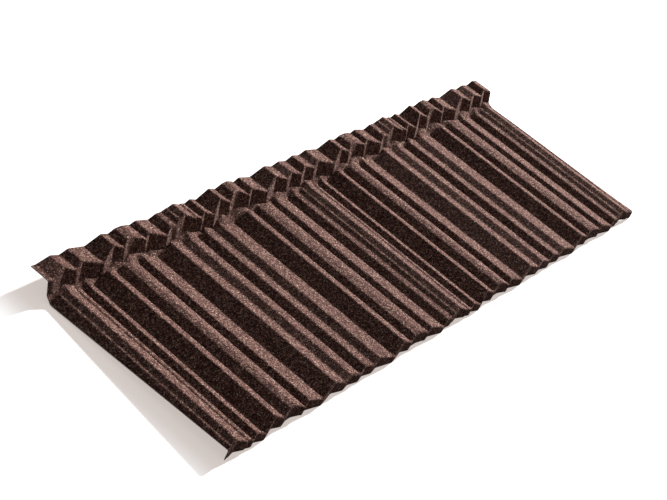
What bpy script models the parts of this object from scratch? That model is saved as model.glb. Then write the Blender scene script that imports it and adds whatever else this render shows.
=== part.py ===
# A tile effect roofing sheet: one thin sheet pressed into a run of split-shake staves, with a
# turned-down front lip, a step at the back and a raised rear flange for the next course.
# X runs along the sheet, Y from the front lip to the rear flange, +Z up. Metres.
# The sheet lies on a level floor on the edge of its lip and on the foot of its step.

from bisect import bisect_left
from math import atan2, cos, floor, pi, radians, sin, tan

import bmesh
import bpy
from mathutils import Matrix, Vector

# The blank
SHEET_LENGTH = 1.310
SHEET_THICKNESS = 0.0018  # galvanised steel with its primer and its coat of stone granules

# The section from front to back, measured on the line of the deepest valley
LIP_DROP = 0.0128  # the lip's edge, below the deepest valley
LIP_RADIUS = 0.004
LIP_EDGE_RELIEF = 0.18  # how much of the staves' height is left along the lip's edge
PAN_DEPTH = 0.3435  # from the lip's front to where the step starts to curve up
FOOT_RADIUS = 0.0095
RISER_LEAN = 15.0  # degrees that the step's face leans back from upright
STEP_HEIGHT = 0.028
HEAD_RADIUS = 0.004
FLANGE_DEPTH = 0.039  # the flat width of the rear flange

# How much further back the highest ridge stands than the deepest valley
LIP_SET_BACK = 0.0085
FOOT_SET_BACK = 0.0076
HEAD_SET_BACK = 0.0155

# Where the flange's pattern takes over from the pan's, as shares of the foot's bend
TAKE_OVER_START = 0.36
TAKE_OVER_END = 0.90

# The staves of one pattern, each fold as (height above the deepest valley, run to the next fold)
PAN_START = 0.130  # from the left end to the pan pattern's first ridge, at the step's foot
FLANGE_START = 0.153  # the same for the flange's pattern, which starts with the worn staves
STAVE_LEAN = 0.042  # how far the pan's folds move to the right for each metre towards the step
SPLIT_STAVES = (
    (0.0145, 0.0205),
    (0.0065, 0.0165),
    (0.0135, 0.0130),
    (0.0140, 0.0185),
    (0.0075, 0.0045),
    (0.0045, 0.0115),
    (0.0110, 0.0370),
    (0.0005, 0.0345),
)
EVEN_STAVES = (
    (0.0130, 0.0265),
    (0.0045, 0.0175),
    (0.0100, 0.0245),
    (0.0035, 0.0165),
    (0.0105, 0.0225),
    (0.0045, 0.0175),
    (0.0105, 0.0425),
    (0.0000, 0.0315),
)
WORN_STAVES = (
    (0.0125, 0.0200),
    (0.0060, 0.0130),
    (0.0120, 0.0160),
    (0.0120, 0.0170),
    (0.0080, 0.0055),
    (0.0055, 0.0120),
    (0.0105, 0.0375),
    (0.0000, 0.0155),
)
NARROW_STAVES = (
    (0.0070, 0.0130),
    (0.0055, 0.0110),
    (0.0095, 0.0030),
    (0.0092, 0.0130),
    (0.0135, 0.0210),
    (0.0050, 0.0040),
    (0.0062, 0.0115),
    (0.0020, 0.0095),
    (0.0080, 0.0215),
    (0.0000, 0.0260),
)

# Each fold is a narrow flat that starts this far from the sharp line, or closer on a short run
FOLD_SOFTENING = 0.0018
SOFTENED_SHARE = 0.35

# Steps along each curved bend
LIP_STEPS = 2
FOOT_STEPS = 3
HEAD_STEPS = 2
SPARE_REPEATS = 2  # of the pattern, past each end of the sheet
SAME_POINT = 0.000001  # points closer than this to a cut are on it
SAME_COLUMN = 0.0004  # folds closer than this share one line of points
FLAT = 0.001  # radians between two faces that are one flat facet

# The stone granules' colour, dark brown with a little red
SHEET_COLOUR = (0.060, 0.036, 0.030, 1.0)
SHEET_ROUGHNESS = 0.92
SHEET_METALLIC = 0.0

PAN_PATTERN = SPLIT_STAVES + EVEN_STAVES + WORN_STAVES + NARROW_STAVES
FLANGE_PATTERN = WORN_STAVES + NARROW_STAVES + SPLIT_STAVES + EVEN_STAVES
HIGHEST_RIDGE = max(height for height, run in PAN_PATTERN)


def clear_scene():
    for old in list(bpy.data.objects):
        bpy.data.objects.remove(old, do_unlink=True)


def sharp_folds(pattern, start):
    """The pattern repeated past both ends of the sheet, as sharp (x, height) points."""
    module = sum(run for height, run in pattern)
    lead = abs(STAVE_LEAN) * PAN_DEPTH
    before = floor((start + lead) / module) + SPARE_REPEATS
    after = floor((SHEET_LENGTH - start + lead) / module) + SPARE_REPEATS
    x = start - before * module
    folds = []
    for _ in range(before + after):
        for height, run in pattern:
            folds.append(Vector((x, height)))
            x += run
    return folds


def soften(folds):
    """Two points for each inner fold, one on either of its facets."""
    points = []
    for left, fold, right in zip(folds, folds[1:], folds[2:]):
        for neighbour in (left, right):
            facet = neighbour - fold
            reach = min(FOLD_SOFTENING, SOFTENED_SHARE * facet.length)
            points.append(fold + facet.normalized() * reach)
    return points


def height_at(points, x):
    """The height of a softened pattern at x."""
    place = bisect_left([point.x for point in points], x)
    if place == 0 or place == len(points):
        return None
    left, right = points[place - 1], points[place]
    return left.y + (right.y - left.y) * (x - left.x) / (right.x - left.x)


def columns(pan, flange):
    """The lines of points from front to back: (x, pan height, flange height) at the step's foot."""
    places = []
    for x in sorted(point.x for point in pan + flange):
        if not places or x - places[-1] > SAME_COLUMN:
            places.append(x)
    found = [(x, height_at(pan, x), height_at(flange, x)) for x in places]
    return [column for column in found if None not in column]


def arc(centre_y, centre_z, radius, start_degrees, end_degrees, steps):
    """Points on a bend, seen from the sheet's left end."""
    turn = radians(end_degrees - start_degrees) / steps
    angles = [radians(start_degrees) + turn * step for step in range(steps + 1)]
    return [(centre_y + radius * cos(a), centre_z + radius * sin(a)) for a in angles]


def taken_over(bend_share):
    """The share of the flange's pattern at a place on the foot's bend, eased at both ends."""
    part = (bend_share - TAKE_OVER_START) / (TAKE_OVER_END - TAKE_OVER_START)
    return (1.0 - cos(pi * min(1.0, max(0.0, part)))) / 2


def section():
    """Stations from the lip's edge to the flange's edge.

    Each is (y, z, relief, flange share, set back): the share of the staves' height, the share
    of the flange's pattern in place of the pan's, and the highest ridge's set back."""
    stations = [(0.0, -LIP_DROP, LIP_EDGE_RELIEF, 0.0, LIP_SET_BACK)]
    for y, z in arc(LIP_RADIUS, -LIP_RADIUS, LIP_RADIUS, 180, 90, LIP_STEPS):
        stations.append((y, z, 1.0, 0.0, LIP_SET_BACK * (1.0 - y / LIP_RADIUS)))

    foot = arc(PAN_DEPTH, FOOT_RADIUS, FOOT_RADIUS, -90, -RISER_LEAN, FOOT_STEPS)
    for step, (y, z) in enumerate(foot):
        share = taken_over(step / FOOT_STEPS)
        stations.append((y, z, 1.0, share, FOOT_SET_BACK * share))

    foot_y, foot_z = foot[-1]
    lean = radians(RISER_LEAN)
    head_z = STEP_HEIGHT - HEAD_RADIUS
    rise = head_z + HEAD_RADIUS * sin(lean) - foot_z
    head_y = foot_y + rise * tan(lean) + HEAD_RADIUS * cos(lean)
    for y, z in arc(head_y, head_z, HEAD_RADIUS, 180 - RISER_LEAN, 90, HEAD_STEPS):
        stations.append((y, z, 1.0, 1.0, HEAD_SET_BACK))

    stations.append((head_y + FLANGE_DEPTH, STEP_HEIGHT, 1.0, 1.0, 0.0))
    return stations


def station_row(station, lines):
    """One line of points across the sheet."""
    y, z, relief, flange_share, set_back = station
    lean = STAVE_LEAN * min(0.0, y - PAN_DEPTH)
    row = []
    for x, pan_height, flange_height in lines:
        height = pan_height + (flange_height - pan_height) * flange_share
        move_back = set_back * height / HIGHEST_RIDGE
        row.append((x + lean, y + move_back, z + relief * height))
    return row


def loft(rows):
    """A surface through rows that hold the same number of points."""
    bm = bmesh.new()
    lines = [[bm.verts.new(point) for point in row] for row in rows]
    for front, back in zip(lines, lines[1:]):
        for a, b, c, d in zip(front, front[1:], back[1:], back):
            bm.faces.new((a, b, c, d))
    return bm


def press_sheet():
    """The open upper surface, which runs past both ends of the sheet, as a mesh."""
    pan = soften(sharp_folds(PAN_PATTERN, PAN_START))
    flange = soften(sharp_folds(FLANGE_PATTERN, FLANGE_START))
    lines = columns(pan, flange)
    bm = loft([station_row(station, lines) for station in section()])
    bmesh.ops.dissolve_limit(bm, angle_limit=FLAT, verts=bm.verts[:], edges=bm.edges[:])
    mesh = bpy.data.meshes.new("roofing_sheet")
    bm.to_mesh(mesh)
    bm.free()
    return mesh


def give_thickness(obj):
    """Makes the surface a solid wall that lies below it."""
    wall = obj.modifiers.new("wall", "SOLIDIFY")
    wall.thickness = SHEET_THICKNESS
    wall.offset = -1.0
    wall.use_even_offset = True
    wall.use_quality_normals = True
    depsgraph = bpy.context.evaluated_depsgraph_get()
    solid = bpy.data.meshes.new_from_object(obj.evaluated_get(depsgraph))
    obj.modifiers.clear()
    obj.data = solid


def shear_end(bm, x, direction):
    """Cuts the solid square at x, drops what lies beyond and closes the cut."""
    cut = bmesh.ops.bisect_plane(
        bm,
        geom=bm.verts[:] + bm.edges[:] + bm.faces[:],
        dist=SAME_POINT,
        plane_co=(x, 0.0, 0.0),
        plane_no=(direction, 0.0, 0.0),
        clear_outer=True,
    )
    rim = [item for item in cut["geom_cut"] if isinstance(item, bmesh.types.BMEdge)]
    bmesh.ops.edgeloop_fill(bm, edges=rim)


def shear_to_length(mesh):
    bm = bmesh.new()
    bm.from_mesh(mesh)
    shear_end(bm, 0.0, -1.0)
    shear_end(bm, SHEET_LENGTH, 1.0)
    bmesh.ops.recalc_face_normals(bm, faces=bm.faces[:])
    bm.to_mesh(mesh)
    bm.free()


def lay_on_floor(mesh):
    """Tips the sheet on to its lip's edge and its step's foot, with its box centred on Z."""
    lowest = min(mesh.vertices, key=lambda vertex: vertex.co.z).co.copy()
    behind = [vertex.co - lowest for vertex in mesh.vertices if vertex.co.y > PAN_DEPTH / 2]
    tilt = min(atan2(gap.z, gap.y) for gap in behind)
    mesh.transform(Matrix.Rotation(-tilt, 4, "X") @ Matrix.Translation(-lowest))
    low = [min(vertex.co[axis] for vertex in mesh.vertices) for axis in range(3)]
    high = [max(vertex.co[axis] for vertex in mesh.vertices) for axis in range(3)]
    centre = Vector(((low[0] + high[0]) / 2, (low[1] + high[1]) / 2, low[2]))
    mesh.transform(Matrix.Translation(-centre))


def stone_coat():
    material = bpy.data.materials.new("stone_coat")
    material.use_nodes = True
    shader = material.node_tree.nodes["Principled BSDF"]
    shader.inputs["Base Color"].default_value = SHEET_COLOUR
    shader.inputs["Roughness"].default_value = SHEET_ROUGHNESS
    shader.inputs["Metallic"].default_value = SHEET_METALLIC
    return material


def build():
    clear_scene()
    collection = bpy.data.collections.new("tile_effect_roofing_sheet")
    bpy.context.scene.collection.children.link(collection)
    sheet = bpy.data.objects.new("roofing_sheet", press_sheet())
    collection.objects.link(sheet)
    give_thickness(sheet)
    shear_to_length(sheet.data)
    lay_on_floor(sheet.data)
    sheet.data.materials.append(stone_coat())


build()
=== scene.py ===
# %% [markdown]
# # A tile effect metal roofing sheet
# Stone-coated roofing sheets are pressed from thin steel so that one light panel looks like a
# row of split wooden shakes. This lesson dresses one such sheet: it presses a finer copy of the
# CAD solid, gives the steel its thickness, and coats the top with stone granules.

# %% Load the frame
from bisect import bisect_left
from math import atan2, cos, degrees, pi, radians, sin, tan

import bmesh
import bpy
from mathutils import Matrix, Vector


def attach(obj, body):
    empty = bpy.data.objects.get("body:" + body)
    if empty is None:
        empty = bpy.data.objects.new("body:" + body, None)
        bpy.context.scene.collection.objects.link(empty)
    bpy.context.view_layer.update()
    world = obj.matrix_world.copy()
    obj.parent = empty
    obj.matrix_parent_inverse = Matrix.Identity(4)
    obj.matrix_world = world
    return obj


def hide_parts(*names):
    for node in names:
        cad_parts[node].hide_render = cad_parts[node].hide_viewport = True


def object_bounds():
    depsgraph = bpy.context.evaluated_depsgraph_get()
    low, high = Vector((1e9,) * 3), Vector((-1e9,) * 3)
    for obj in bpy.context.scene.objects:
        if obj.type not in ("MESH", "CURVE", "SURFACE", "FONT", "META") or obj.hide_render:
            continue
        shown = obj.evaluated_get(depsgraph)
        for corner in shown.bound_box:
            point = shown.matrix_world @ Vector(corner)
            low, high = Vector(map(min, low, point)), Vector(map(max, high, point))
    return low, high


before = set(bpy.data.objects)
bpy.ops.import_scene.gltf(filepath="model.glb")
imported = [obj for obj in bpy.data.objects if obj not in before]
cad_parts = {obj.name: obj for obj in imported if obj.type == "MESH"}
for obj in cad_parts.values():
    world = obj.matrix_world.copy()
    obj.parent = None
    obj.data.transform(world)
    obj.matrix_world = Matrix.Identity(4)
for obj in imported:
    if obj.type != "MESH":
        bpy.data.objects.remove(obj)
cad_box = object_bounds()
print("CAD nodes:", sorted(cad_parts))

# %% [markdown]
# ## The camera
# The photographer stood off the sheet's left end with a long lens and tipped the camera, so the
# lip runs up to the right and the staves run up to the left. A camera could be aimed by eye with
# a Track To constraint, but that keeps it level. Here its place and its three angles are written
# out, and they put the staves' folds where the photograph has them.

# %% Place the camera
CAMERA_PLACE = (-2.6952, -0.9423, 1.7215)
CAMERA_ANGLES = (54.942, -23.946, -53.863)  # degrees about X, Y and Z
CAMERA_LENS = 108.54  # millimetres: a long lens keeps the far end almost as large as the near one
CAMERA_SENSOR = 36.0  # millimetres

lens = bpy.data.cameras.new("camera")
lens.lens = CAMERA_LENS
lens.sensor_width = CAMERA_SENSOR
camera = bpy.data.objects.new("camera", lens)
camera.location = CAMERA_PLACE
camera.rotation_euler = [radians(angle) for angle in CAMERA_ANGLES]
bpy.context.scene.collection.objects.link(camera)
bpy.context.scene.camera = camera
bpy.context.scene.view_settings.view_transform = "Standard"
print("camera lens", lens.lens, "mm")

# %% [markdown]
# ## The lamp
# One lamp stands far off behind the right end, only some 19 degrees above the floor. Its light
# rakes across the staves: each slope that faces it turns pale, and each slope that turns away
# stays nearly black. That contrast is what shows the shape of a dark, rough sheet. A sun lamp
# could do it too, with an angle for its softness. An area lamp is used here, because its size and
# its distance, which soften the edge of the shadow on the floor, are those of a real lamp.

# %% Place the lamp
LAMP_DIRECTION = Vector((0.938, 0.060, 0.330)).normalized()
LAMP_DISTANCE = 9.5
LAMP_SIZE = 0.5
LAMP_LEVEL = 3.0  # a white card that faces the lamp renders this bright

lamp_data = bpy.data.lights.new("lamp", "AREA")
lamp_data.shape = "DISK"
lamp_data.size = LAMP_SIZE
lamp_data.energy = LAMP_LEVEL * pi * pi * LAMP_DISTANCE**2
lamp = bpy.data.objects.new("lamp", lamp_data)
lamp.location = LAMP_DIRECTION * LAMP_DISTANCE
lamp.rotation_euler = LAMP_DIRECTION.to_track_quat("Z", "Y").to_euler()
bpy.context.scene.collection.objects.link(lamp)
print("lamp at", [round(value, 2) for value in lamp.location])


# %% [markdown]
# ## Small helpers for the node trees
# The room, the floor and every finish below are trees of nodes, so a few helpers keep the cells
# short. They empty a tree, add a node and fill in its sockets, join two shaders, do sums, fill in
# a colour ramp, tell what looks at a surface, and join the last node to the output.

# %% Node helpers
def empty_tree(owner):
    """The node tree of a material or a world, with no nodes in it."""
    owner.use_nodes = True
    owner.node_tree.nodes.clear()
    return owner.node_tree


def fill(tree, socket, value):
    """Gives a socket a value, or joins another node's output to it."""
    if isinstance(value, bpy.types.NodeSocket):
        tree.links.new(value, socket)
    else:
        socket.default_value = value


def add(tree, kind, settings=None, **sockets):
    """A new node, with its settings made and its sockets filled in by name."""
    made = tree.nodes.new("ShaderNode" + kind)
    for name, value in (settings or {}).items():
        setattr(made, name, value)
    for name, value in sockets.items():
        fill(tree, made.inputs[name.replace("_", " ")], value)
    return made


def join_shaders(tree, kind, first, second, **sockets):
    """A Mix or Add Shader node. Both shader inputs have one name, so they go by number."""
    made = add(tree, kind, **sockets)
    fill(tree, made.inputs[-2], first)
    fill(tree, made.inputs[-1], second)
    return made.outputs[0]


def math(tree, operation, first, second=0.0):
    """A Math node. All its inputs have one name, so they go by number."""
    made = add(tree, "Math", {"operation": operation})
    fill(tree, made.inputs[0], first)
    fill(tree, made.inputs[1], second)
    return made.outputs[0]


def colour_ramp(tree, factor, stops):
    """A colour ramp through stops of (position, colour), and its colour output."""
    made = add(tree, "ValToRGB", Fac=factor)
    elements = made.color_ramp.elements
    elements[0].position, elements[0].color = stops[0]
    elements[1].position, elements[1].color = stops[-1]
    for position, colour in stops[1:-1]:
        elements.new(position).color = colour
    return made.outputs["Color"]


def seen_directly(tree):
    """1 where the eye, a mirror or a glass looks, and 0 where light only bounces off matt."""
    ray = add(tree, "LightPath")
    shiny = math(tree, "MAXIMUM", ray.outputs["Is Glossy Ray"], ray.outputs["Is Transmission Ray"])
    return math(tree, "MAXIMUM", ray.outputs["Is Camera Ray"], shiny)


def surface(tree, shader, kind="Material"):
    output = tree.nodes.new("ShaderNodeOutput" + kind)
    tree.links.new(shader, output.inputs["Surface"])


print("helpers ready")

# %% [markdown]
# ## The room
# A studio's white walls would fill the dark slopes with light, and the photograph keeps them
# nearly black. So the room is white where the camera sees it, and weak where it lights the
# sheet. The same could be had by rendering on clear film and adding white later, but then a
# mirror or a glass would show no white room.

# %% Light the room
ROOM_LEVEL = 0.15  # a white card in the open shade renders this bright
WHITE = (1.0, 1.0, 1.0, 1.0)

world = bpy.data.worlds.new("room")
bpy.context.scene.world = world
tree = empty_tree(world)
white = add(tree, "Background", Color=WHITE, Strength=1.0)
room = add(tree, "Background", Color=WHITE, Strength=ROOM_LEVEL)
seen = join_shaders(tree, "MixShader", room.outputs[0], white.outputs[0], Fac=seen_directly(tree))
surface(tree, seen, "World")
print("the room lights the sheet at", ROOM_LEVEL)

# %% [markdown]
# ## The floor
# The floor is white paper that also glows a little for the camera, so it renders white without
# more light on the object. The glow is only part of the white: the rest is real light, and where
# the sheet keeps it off, its shadow stays. The glow grows with the distance from the sheet: this
# is painted light, which pales a long shadow until it fades out. The light that bounces off the
# floor comes from a dark cloth instead, or it would fill the shade in the lip and the step.

# %% Make the floor
FLOOR_REACH = 20.0  # metres from the middle to an edge
# the glow beside the sheet, under its shadow; farther out it turns white, painted light over the
# shadow
FLOOR_GLOW = (0.53, 0.47, 0.44, 1.0)
FLOOR_COLOUR = (0.86, 0.86, 0.86, 1.0)
FLOOR_BOUNCE = (0.10, 0.10, 0.10, 1.0)
FADE_FROM, FADE_TO = 0.015, 0.110  # metres from the sheet's outline

bm = bmesh.new()
bmesh.ops.create_grid(bm, x_segments=1, y_segments=1, size=FLOOR_REACH)
floor_mesh = bpy.data.meshes.new("floor")
bm.to_mesh(floor_mesh)
bm.free()
ground = bpy.data.objects.new("floor", floor_mesh)
bpy.context.scene.collection.objects.link(ground)

floor_paint = bpy.data.materials.new("floor")
tree = empty_tree(floor_paint)
spot = add(tree, "SeparateXYZ", Vector=add(tree, "TexCoord").outputs["Object"])
beside = math(tree, "SUBTRACT", math(tree, "ABSOLUTE", spot.outputs["X"]), cad_box[1][0])
along = math(tree, "SUBTRACT", math(tree, "ABSOLUTE", spot.outputs["Y"]), cad_box[1][1])
# painted light: between FADE_FROM and FADE_TO from the sheet the floor's glow rises to white and
# pales the shadow
fade = add(
    tree,
    "MapRange",
    {"interpolation_type": "SMOOTHSTEP"},
    Value=math(tree, "MAXIMUM", beside, along),
    From_Min=FADE_FROM,
    From_Max=FADE_TO,
)
# A Mix node's colours are its inputs 6 and 7 and its output 2.
brighter = add(tree, "Mix", {"data_type": "RGBA"}, Factor=fade.outputs["Result"])
brighter.inputs[6].default_value = FLOOR_GLOW
brighter.inputs[7].default_value = WHITE
glow = add(tree, "Emission", Color=brighter.outputs[2])
matt = add(tree, "BsdfDiffuse", Color=FLOOR_COLOUR)
paper = join_shaders(tree, "AddShader", glow.outputs[0], matt.outputs[0])
cloth = add(tree, "BsdfDiffuse", Color=FLOOR_BOUNCE)
either = join_shaders(tree, "MixShader", cloth.outputs[0], paper, Fac=seen_directly(tree))
surface(tree, either)
floor_mesh.materials.append(floor_paint)
print("floor", 2 * FLOOR_REACH, "m wide")

# %% [markdown]
# ## The staves
# A press tool gives the sheet its staves: flat slopes of uneven width, as if each shake had been
# split by hand. A displacement texture could push a flat sheet into waves like these, but it
# would blur every fold, so the folds are written out instead.
# The tool's pattern is half a cover width long, so every run here is repeated once. The rear
# flange carries the same pattern moved along by about half of it, so that the joints of one
# course don't line up with the next.
# Each fold is written as its height above the deepest valley and the run to the next fold, in
# metres, the same sizes as the CAD solid has. Only the left end differs: it goes under the next
# sheet, and the photograph shows plain slopes there, so its first folds have a list of their own,
# with each fold's place along the sheet and its height.

# %% The folds of one pattern
SHEET_LENGTH = 1.310
PAN_START = 0.130  # from the left end to the pan pattern's first ridge, at the step's foot
FLANGE_START = 0.153  # the same for the flange's pattern
STAVE_LEAN = 0.042  # how far the pan's folds move to the right for each metre towards the step
SPLIT_STAVES = (
    (0.0145, 0.0205),
    (0.0065, 0.0165),
    (0.0135, 0.0130),
    (0.0140, 0.0185),
    (0.0075, 0.0045),
    (0.0045, 0.0115),
    (0.0110, 0.0370),
    (0.0005, 0.0345),
)
EVEN_STAVES = (
    (0.0130, 0.0265),
    (0.0045, 0.0175),
    (0.0100, 0.0245),
    (0.0035, 0.0165),
    (0.0105, 0.0225),
    (0.0045, 0.0175),
    (0.0105, 0.0425),
    (0.0000, 0.0315),
)
WORN_STAVES = (
    (0.0125, 0.0200),
    (0.0060, 0.0130),
    (0.0120, 0.0160),
    (0.0120, 0.0170),
    (0.0080, 0.0055),
    (0.0055, 0.0120),
    (0.0105, 0.0375),
    (0.0000, 0.0155),
)
NARROW_STAVES = (
    (0.0070, 0.0130),
    (0.0055, 0.0110),
    (0.0095, 0.0030),
    (0.0092, 0.0130),
    (0.0135, 0.0210),
    (0.0050, 0.0040),
    (0.0062, 0.0115),
    (0.0020, 0.0095),
    (0.0080, 0.0215),
    (0.0000, 0.0260),
)
PAN_END = ((-0.0050, 0.0006),)
FLANGE_END = ((-0.0050, 0.0062), (0.0100, 0.0048), (0.0390, 0.0118))
PAN_KEPT_FROM = 0.015  # the pattern's own folds start again past here
FLANGE_KEPT_FROM = 0.045
PAN_PATTERN = SPLIT_STAVES + EVEN_STAVES + WORN_STAVES + NARROW_STAVES
FLANGE_PATTERN = WORN_STAVES + NARROW_STAVES + SPLIT_STAVES + EVEN_STAVES
HIGHEST_RIDGE = max(height for height, run in PAN_PATTERN)
print(len(PAN_PATTERN), "folds in", round(sum(run for height, run in PAN_PATTERN), 4), "m")

# %% [markdown]
# ## Round the folds
# Steel can't fold to a knife edge, and the granules round each fold further. A Bevel modifier
# could round the folds afterwards, but it can tangle where the pan's folds meet the flange's. So
# a fold is drawn as a short curve between two points on its slopes, with the sharp corner as the
# curve's control point, and the curve leaves each slope without a kink.

# %% Draw the two folded lines
FOLD_REACH = 0.0028  # where each rounding starts, before and after the sharp line
REACH_SHARE = 0.45  # or closer, on a slope that is too short for it
FOLD_STEPS = 4
REPEATS = 6  # of the pattern, half of them before its start
SPARE_LENGTH = 0.1  # past each end of the sheet, to be sheared off


def sharp_folds(pattern, start):
    """The pattern repeated past both ends of the sheet, as sharp (x, height) points."""
    module = sum(run for height, run in pattern)
    x = start - REPEATS // 2 * module
    folds = []
    for _ in range(REPEATS):
        for height, run in pattern:
            folds.append(Vector((x, height)))
            x += run
    return folds


def with_end(folds, end, kept_from):
    """The folds with the left end's own ones in place of those before a place."""
    flat_beyond = Vector((-SHEET_LENGTH, end[0][1]))
    own = [Vector(fold) for fold in end]
    return [flat_beyond] + own + [fold for fold in folds if fold.x > kept_from]


def rounded(folds):
    points = []
    for before, fold, after in zip(folds, folds[1:], folds[2:]):
        ends = []
        for neighbour in (before, after):
            slope = neighbour - fold
            reach = min(FOLD_REACH, REACH_SHARE * slope.length)
            ends.append(fold + slope.normalized() * reach)
        for step in range(FOLD_STEPS + 1):
            t = step / FOLD_STEPS
            first, last = ends
            points.append(first * (1 - t) ** 2 + fold * 2 * t * (1 - t) + last * t**2)
    return [point for point in points if -SPARE_LENGTH < point.x < SHEET_LENGTH + SPARE_LENGTH]


pan_folds = with_end(sharp_folds(PAN_PATTERN, PAN_START), PAN_END, PAN_KEPT_FROM)
flange_folds = sharp_folds(FLANGE_PATTERN, FLANGE_START)
flange_folds = with_end(flange_folds, FLANGE_END, FLANGE_KEPT_FROM)
pan_line = rounded(pan_folds)
flange_line = rounded(flange_folds)
print(len(pan_line), "points along the pan and", len(flange_line), "along the flange")

# %% [markdown]
# ## Bring the two lines together
# The pan and the flange have different folds at any one place along the sheet, and between them
# the step has to carry both. Two meshes could be joined at the step, but the join could show. So
# the points of both lines are put together, and each place along the sheet knows two heights:
# the pan's and the flange's.

# %% One set of places for both lines
SAME_PLACE = 0.0003  # folds closer than this share one line of points


def height_at(points, x):
    place = bisect_left([point.x for point in points], x)
    left, right = points[place - 1], points[place]
    return left.y + (right.y - left.y) * (x - left.x) / (right.x - left.x)


places = []
low_end = max(pan_line[0].x, flange_line[0].x)
high_end = min(pan_line[-1].x, flange_line[-1].x)
for x in sorted(point.x for point in pan_line + flange_line):
    if low_end < x < high_end and (not places or x - places[-1] > SAME_PLACE):
        places.append(x)
print(len(places), "places along the sheet")

# %% [markdown]
# ## The section from front to back
# Seen from its end, the sheet turns down at the front lip, runs flat as the pan, curves up the
# step, whose face leans back a little, and turns back into the rear flange. Over the lip and the
# step the ridges stand further back than the valleys, so each stave's end is cut on a slant: that
# gives the step its narrow pale faces between dark ones. The set back at the foot is larger than
# the CAD solid's, because these faces only came out as narrow as the photograph's with it. The
# lip's set back stays the same all the way round its bend, as on a pressed sheet, where the CAD
# solid lets it run out.
# Bends are drawn in more steps than the CAD solid needs. A station holds where it lies, how much
# of the staves' height is left there, how far the flange's pattern has taken over, and how far
# the ridges stand behind the valleys.

# %% Stations from the lip's edge to the flange's edge
LIP_DROP = 0.0128  # the lip's edge, below the deepest valley
LIP_RADIUS = 0.004
LIP_EDGE_RELIEF = 0.18  # how much of the staves' height is left along the lip's edge
PAN_DEPTH = 0.3435  # from the lip's front to where the step starts to curve up
FOOT_RADIUS = 0.0095
RISER_LEAN = 15.0  # degrees back from upright
STEP_HEIGHT = 0.028
HEAD_RADIUS = 0.004
FLANGE_DEPTH = 0.039
LIP_SET_BACK = 0.0085  # how much further back the highest ridge stands than the deepest valley
FOOT_SET_BACK = 0.0130
HEAD_SET_BACK = 0.0155
TAKE_OVER_START, TAKE_OVER_END = 0.36, 0.90  # shares of the foot's bend
LIP_STEPS, FOOT_STEPS, HEAD_STEPS = 6, 10, 6


def arc(centre_y, centre_z, radius, start_degrees, end_degrees, steps):
    """Points on a bend, seen from the sheet's left end."""
    turn = radians(end_degrees - start_degrees) / steps
    angles = [radians(start_degrees) + turn * step for step in range(steps + 1)]
    return [(centre_y + radius * cos(a), centre_z + radius * sin(a)) for a in angles]


def taken_over(bend_share):
    """The share of the flange's pattern at a place on the foot's bend, eased at both ends."""
    part = (bend_share - TAKE_OVER_START) / (TAKE_OVER_END - TAKE_OVER_START)
    return (1.0 - cos(pi * min(1.0, max(0.0, part)))) / 2


stations = [(0.0, -LIP_DROP, LIP_EDGE_RELIEF, 0.0, LIP_SET_BACK)]
for y, z in arc(LIP_RADIUS, -LIP_RADIUS, LIP_RADIUS, 180, 90, LIP_STEPS):
    stations.append((y, z, 1.0, 0.0, LIP_SET_BACK))
foot = arc(PAN_DEPTH, FOOT_RADIUS, FOOT_RADIUS, -90, -RISER_LEAN, FOOT_STEPS)
for step, (y, z) in enumerate(foot):
    share = taken_over(step / FOOT_STEPS)
    stations.append((y, z, 1.0, share, FOOT_SET_BACK * share))
foot_y, foot_z = foot[-1]
lean = radians(RISER_LEAN)
head_z = STEP_HEIGHT - HEAD_RADIUS
rise = head_z + HEAD_RADIUS * sin(lean) - foot_z
head_y = foot_y + rise * tan(lean) + HEAD_RADIUS * cos(lean)
for y, z in arc(head_y, head_z, HEAD_RADIUS, 180 - RISER_LEAN, 90, HEAD_STEPS):
    stations.append((y, z, 1.0, 1.0, HEAD_SET_BACK))
stations.append((head_y + FLANGE_DEPTH, STEP_HEIGHT, 1.0, 1.0, 0.0))
print(len(stations), "stations from front to back")

# %% [markdown]
# ## Press the sheet
# The folded line is laid down once, at the lip's edge, and then extruded from station to station,
# as the press tool carries the folds through the section. A Screw or Array modifier would repeat
# one line, but here the line changes on its way. Each point keeps its place along the sheet and
# its two heights in layers of the mesh. Extrude copies those layers, so a new point knows where
# it has to go.

# %% Extrude the folded line
bm = bmesh.new()
place_layer = bm.verts.layers.float.new("place")
pan_layer = bm.verts.layers.float.new("pan_height")
flange_layer = bm.verts.layers.float.new("flange_height")


def move_to(vert, station):
    y, z, relief, flange_share, set_back = station
    height = vert[pan_layer] + (vert[flange_layer] - vert[pan_layer]) * flange_share
    slant = STAVE_LEAN * min(0.0, y - PAN_DEPTH)
    back = set_back * height / HIGHEST_RIDGE
    vert.co = (vert[place_layer] + slant, y + back, z + relief * height)


line = []
for x in places:
    vert = bm.verts.new()
    vert[place_layer] = x
    vert[pan_layer] = height_at(pan_line, x)
    vert[flange_layer] = height_at(flange_line, x)
    move_to(vert, stations[0])
    line.append(vert)
edges = [bm.edges.new(pair) for pair in zip(line, line[1:])]
for station in stations[1:]:
    grown = bmesh.ops.extrude_edge_only(bm, edges=edges)["geom"]
    verts = {item for item in grown if isinstance(item, bmesh.types.BMVert)}
    for vert in verts:
        move_to(vert, station)
    edges = [item for item in grown if isinstance(item, bmesh.types.BMEdge)]
    edges = [edge for edge in edges if set(edge.verts) <= verts]
print(len(bm.faces), "faces after the last station")

# %% [markdown]
# ## Join the flat neighbours
# Between two folds the sheet is flat, so small faces that lie in one slope are joined. A Decimate
# modifier could do it with its Planar setting, on the live object. Extrude numbers its points in
# order but makes its edges and faces in no fixed order, and which of them are joined first
# depends on that. So edges and faces are first sorted by their points' numbers, and the mesh is
# read back once, so that the neighbours of each point are in order too. The script then makes
# the same mesh on each run.

# %% Sort the mesh and join flat neighbours
FLAT = 0.0005  # radians between two faces that are one flat slope


def point_numbers(element):
    return sorted(vert.index for vert in element.verts)


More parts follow.
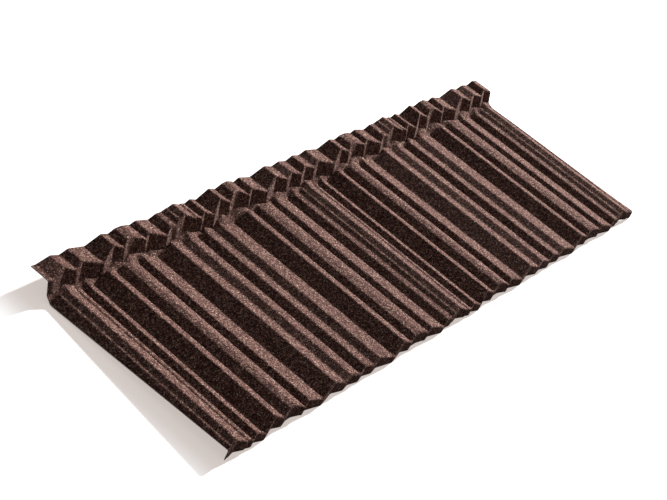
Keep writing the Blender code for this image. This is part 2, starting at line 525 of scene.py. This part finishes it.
def put_in_order(elements):
    ranks = {element: rank for rank, element in enumerate(sorted(elements, key=point_numbers))}
    elements.sort(key=ranks.get)


bm.verts.index_update()
put_in_order(bm.edges)
put_in_order(bm.faces)
pressed = bpy.data.meshes.new("pressed_sheet")
bm.to_mesh(pressed)
bm.free()

bm = bmesh.new()
bm.from_mesh(pressed)
bmesh.ops.recalc_face_normals(bm, faces=bm.faces[:])
if sum(face.normal.z for face in bm.faces) < 0:
    bmesh.ops.reverse_faces(bm, faces=bm.faces[:])
bmesh.ops.dissolve_limit(bm, angle_limit=FLAT, verts=bm.verts[:], edges=bm.edges[:])
bm.to_mesh(pressed)
bm.free()
print(len(pressed.vertices), "points in the pressed surface")

# %% [markdown]
# ## The thickness
# The pressed surface is the top of the granules. A copy of it could be moved straight down, but
# the wall would come out thin on every steep slope, so a Solidify modifier grows it square to
# the surface. Its material offsets paint the underside and the rim with slots of their own,
# because the three are different finishes on the real sheet. Where the pan's folds run into the
# step's, many slopes meet in one point and an even wall would grow a spike there, so no point
# may lie further below than a pressed corner is thick.

# %% Grow the wall
SHEET_THICKNESS = 0.0018
WIDEST_WALL = 0.0026  # across a corner where several slopes meet
COAT, PRIMER, EDGE = range(3)  # the material slots

sheet = bpy.data.objects.new("stone_coated_sheet", pressed)
bpy.context.scene.collection.objects.link(sheet)
for name in ("stone_coat", "underside_primer", "sheared_edge"):
    pressed.materials.append(bpy.data.materials.new(name))
underside = sheet.vertex_groups.new(name="underside")
underside_number = underside.index  # read now: it is lost when the sheet gets another mesh
wall = sheet.modifiers.new("wall", "SOLIDIFY")
wall.thickness = SHEET_THICKNESS
wall.offset = -1.0
wall.use_even_offset = True
wall.use_quality_normals = True
wall.material_offset = PRIMER
wall.material_offset_rim = EDGE
wall.shell_vertex_group = underside.name
solid = bpy.data.meshes.new_from_object(
    sheet.evaluated_get(bpy.context.evaluated_depsgraph_get())
)
sheet.modifiers.clear()
sheet.data = solid
upper = len(pressed.vertices)
held = 0
for top, under in zip(solid.vertices[:upper], solid.vertices[upper:]):
    gap = under.co - top.co
    if gap.length > WIDEST_WALL:
        under.co = top.co + gap.normalized() * WIDEST_WALL
        held += 1
print(len(solid.polygons), "faces with the underside and the rim,", held, "points held back")

# %% [markdown]
# ## Shear the ends
# The sheet leaves the press with rough ends and is sheared square to its length. A Boolean with
# a box would do it too, but a plane's cut is simpler and exact. Both ends are cut through the
# whole thickness, so the cuts are truly flat, and each is closed with a face in the rim's
# finish. An edge between two finishes stays sharp, and all others are shaded smooth.

# %% Cut both ends to length
SAME_POINT = 0.000001  # points closer than this to a cut are on it


def shear(bm, x, direction):
    cut = bmesh.ops.bisect_plane(
        bm,
        geom=bm.verts[:] + bm.edges[:] + bm.faces[:],
        dist=SAME_POINT,
        plane_co=(x, 0.0, 0.0),
        plane_no=(direction, 0.0, 0.0),
        clear_outer=True,
    )
    rim = [item for item in cut["geom_cut"] if isinstance(item, bmesh.types.BMEdge)]
    for face in bmesh.ops.edgeloop_fill(bm, edges=rim)["faces"]:
        face.material_index = EDGE


bm = bmesh.new()
bm.from_mesh(solid)
shear(bm, 0.0, -1.0)
shear(bm, SHEET_LENGTH, 1.0)
bmesh.ops.recalc_face_normals(bm, faces=bm.faces[:])
weights = bm.verts.layers.deform.active
depth_layer = bm.verts.layers.float.new("depth")
for vert in bm.verts:
    vert[depth_layer] = vert[weights].get(underside_number, 0.0)
for edge in bm.edges:
    edge.smooth = len({face.material_index for face in edge.link_faces}) == 1
for face in bm.faces:
    face.smooth = True
bm.to_mesh(solid)
bm.free()
print(len(solid.vertices), "points after both cuts")

# %% [markdown]
# ## Lay it on the floor
# Unheld, the sheet tips until it rests on the edge of its lip and on the foot of its step. A
# simulation could drop it there, but two points are enough: the sheet turns about its lowest
# one, by the smallest angle that brings any point behind the middle down to the same level. Last,
# weighted normals let each flat slope shade as flat, and leave the turn to the rounding between
# two slopes.

# %% Tip it and centre it
LARGE_FACES_LEAD = 100  # at 50, the neutral value, each face would count by its area

lowest = min(solid.vertices, key=lambda vertex: vertex.co.z).co.copy()
behind = [vertex.co - lowest for vertex in solid.vertices if vertex.co.y > PAN_DEPTH / 2]
tilt = min(atan2(gap.z, gap.y) for gap in behind)
solid.transform(Matrix.Rotation(-tilt, 4, "X") @ Matrix.Translation(-lowest))
low = [min(vertex.co[axis] for vertex in solid.vertices) for axis in range(3)]
high = [max(vertex.co[axis] for vertex in solid.vertices) for axis in range(3)]
solid.transform(Matrix.Translation((-(low[0] + high[0]) / 2, -(low[1] + high[1]) / 2, -low[2])))
weighted = sheet.modifiers.new("weighted normals", "WEIGHTED_NORMAL")
weighted.keep_sharp = True
weighted.weight = LARGE_FACES_LEAD
print("tipped by", round(degrees(tilt), 2), "degrees")

# %% [markdown]
# ## The stone coat
# The top is coated with crushed stone, fired in a few shades and mixed: most grains dark brown,
# some nearly black, some rusty, a few pale. Each grain is 1 to 2 mm across. Real grains could be
# scattered as meshes, but there are about two hundred thousand of them. Voronoi cells stand for
# them: the cell's own random colour picks a shade from the ramp, and its distance makes the
# grain a small dome in the bump. A slow noise makes whole patches a little lighter or darker,
# as where the granules fell thicker. The coat is dead matt.

# %% Stone coat material
GRAIN_WIDTH = 0.0017
GRAIN_HEIGHT = 0.0009
GRAIN_STRENGTH = 0.35  # of the bump
PATCH_WIDTH = 0.006
PATCH_DARKEST, PATCH_LIGHTEST = 0.82, 1.18
NOISE_LOW, NOISE_HIGH = 0.3, 0.7  # nearly all of the noise lies between these
GRAIN_SHADES = (
    (0.00, (0.024, 0.010, 0.008, 1)),
    (0.30, (0.056, 0.024, 0.020, 1)),
    (0.60, (0.125, 0.060, 0.048, 1)),
    (0.80, (0.210, 0.110, 0.088, 1)),
    (0.93, (0.320, 0.190, 0.150, 1)),
    (1.00, (0.500, 0.360, 0.290, 1)),
)


def grains(tree, where, shades, height, strength):
    """The colour of the grains, and their bump."""
    cells = add(tree, "TexVoronoi", Vector=where, Scale=1 / GRAIN_WIDTH)
    chosen = add(tree, "SeparateColor", Color=cells.outputs["Color"]).outputs["Red"]
    dome = math(tree, "SUBTRACT", 1.0, cells.outputs["Distance"])
    bump = add(tree, "Bump", Height=dome, Distance=height, Strength=strength)
    return colour_ramp(tree, chosen, shades), bump.outputs["Normal"]


tree = empty_tree(solid.materials[COAT])
where = add(tree, "TexCoord").outputs["Object"]
colour, bumped = grains(tree, where, GRAIN_SHADES, GRAIN_HEIGHT, GRAIN_STRENGTH)
noise = add(tree, "TexNoise", Vector=where, Scale=1 / PATCH_WIDTH, Detail=3.0)
patch = add(
    tree,
    "MapRange",
    Value=noise.outputs["Fac"],
    From_Min=NOISE_LOW,
    From_Max=NOISE_HIGH,
    To_Min=PATCH_DARKEST,
    To_Max=PATCH_LIGHTEST,
)
tinted = add(tree, "VectorMath", {"operation": "SCALE"}, Scale=patch.outputs["Result"])
tree.links.new(colour, tinted.inputs[0])
coat = add(
    tree,
    "BsdfPrincipled",
    Base_Color=tinted.outputs[0],
    Roughness=1.0,
    Specular_IOR_Level=0.06,
    Normal=bumped,
)
surface(tree, coat.outputs[0])
print("stone coat with grains of", round(1000 * GRAIN_WIDTH, 1), "mm")

# %% [markdown]
# ## The underside
# Below, the steel keeps only its zinc and a thin brown primer. The photograph doesn't show this
# side, so it gets what such sheets usually have: a satin primer, a little cloudy where the spray
# passes met, and slightly uneven like orange peel. An image of a primed sheet could be laid on,
# but two noises, a slow and a fine one, never repeat.

# %% Underside material
PRIMER_SHADES = ((0.35, (0.085, 0.062, 0.052, 1)), (0.68, (0.120, 0.090, 0.076, 1)))
SPRAY_CLOUDS = 9.0  # in a metre
PEEL_BUMPS = 420.0
PEEL_HEIGHT = 0.0002

tree = empty_tree(solid.materials[PRIMER])
where = add(tree, "TexCoord").outputs["Object"]
spray = add(tree, "TexNoise", Vector=where, Scale=SPRAY_CLOUDS, Detail=5.0).outputs["Fac"]
peel = add(tree, "TexNoise", Vector=where, Scale=PEEL_BUMPS, Detail=2.0).outputs["Fac"]
bump = add(tree, "Bump", Height=peel, Distance=PEEL_HEIGHT, Strength=0.35)
gloss = add(tree, "MapRange", Value=spray, To_Min=0.38, To_Max=0.56)
primer = add(
    tree,
    "BsdfPrincipled",
    Base_Color=colour_ramp(tree, spray, PRIMER_SHADES),
    Roughness=gloss.outputs["Result"],
    Normal=bump.outputs["Normal"],
)
surface(tree, primer.outputs[0])
print("underside primer")

# %% [markdown]
# ## The sheared edge
# Where the sheet is cut, its layers show: granules above, and below them a bright line of bare
# galvanised steel about half a millimetre thick. A strip of its own faces could carry the steel,
# but it would have to follow every fold. Instead the depth attribute runs from 0 at the top to 1
# at the underside, and tells the material which layer it is in.

# %% Edge material
STEEL_FROM, STEEL_TO = 0.66, 0.94  # of the depth
STEEL_COLOUR = (0.46, 0.47, 0.48, 1)
BROKEN_SHADES = ((0.0, (0.020, 0.010, 0.009, 1)), (1.0, (0.120, 0.070, 0.056, 1)))
BROKEN_HEIGHT = 0.0006
BROKEN_STRENGTH = 0.7
SCRATCHES = 700.0  # in a metre

tree = empty_tree(solid.materials[EDGE])
where = add(tree, "TexCoord").outputs["Object"]
colour, bumped = grains(tree, where, BROKEN_SHADES, BROKEN_HEIGHT, BROKEN_STRENGTH)
stone = add(tree, "BsdfPrincipled", Base_Color=colour, Roughness=0.85, Normal=bumped)
scratches = add(tree, "TexNoise", Vector=where, Scale=SCRATCHES, Detail=2.0).outputs["Fac"]
rough = add(tree, "MapRange", Value=scratches, To_Min=0.30, To_Max=0.55).outputs["Result"]
steel = add(tree, "BsdfPrincipled", Base_Color=STEEL_COLOUR, Metallic=1.0, Roughness=rough)
depth = add(tree, "Attribute", {"attribute_name": "depth"}).outputs["Fac"]
below_stone = math(tree, "GREATER_THAN", depth, STEEL_FROM)
above_primer = math(tree, "LESS_THAN", depth, STEEL_TO)
steel_here = math(tree, "MULTIPLY", below_stone, above_primer)
layers = join_shaders(tree, "MixShader", stone.outputs[0], steel.outputs[0], Fac=steel_here)
surface(tree, layers)
print("sheared edge: steel from", STEEL_FROM, "to", STEEL_TO, "of the depth")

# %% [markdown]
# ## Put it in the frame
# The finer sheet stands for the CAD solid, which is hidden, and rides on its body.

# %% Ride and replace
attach(sheet, "root")
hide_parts("roofing_sheet")
bpy.context.view_layer.update()
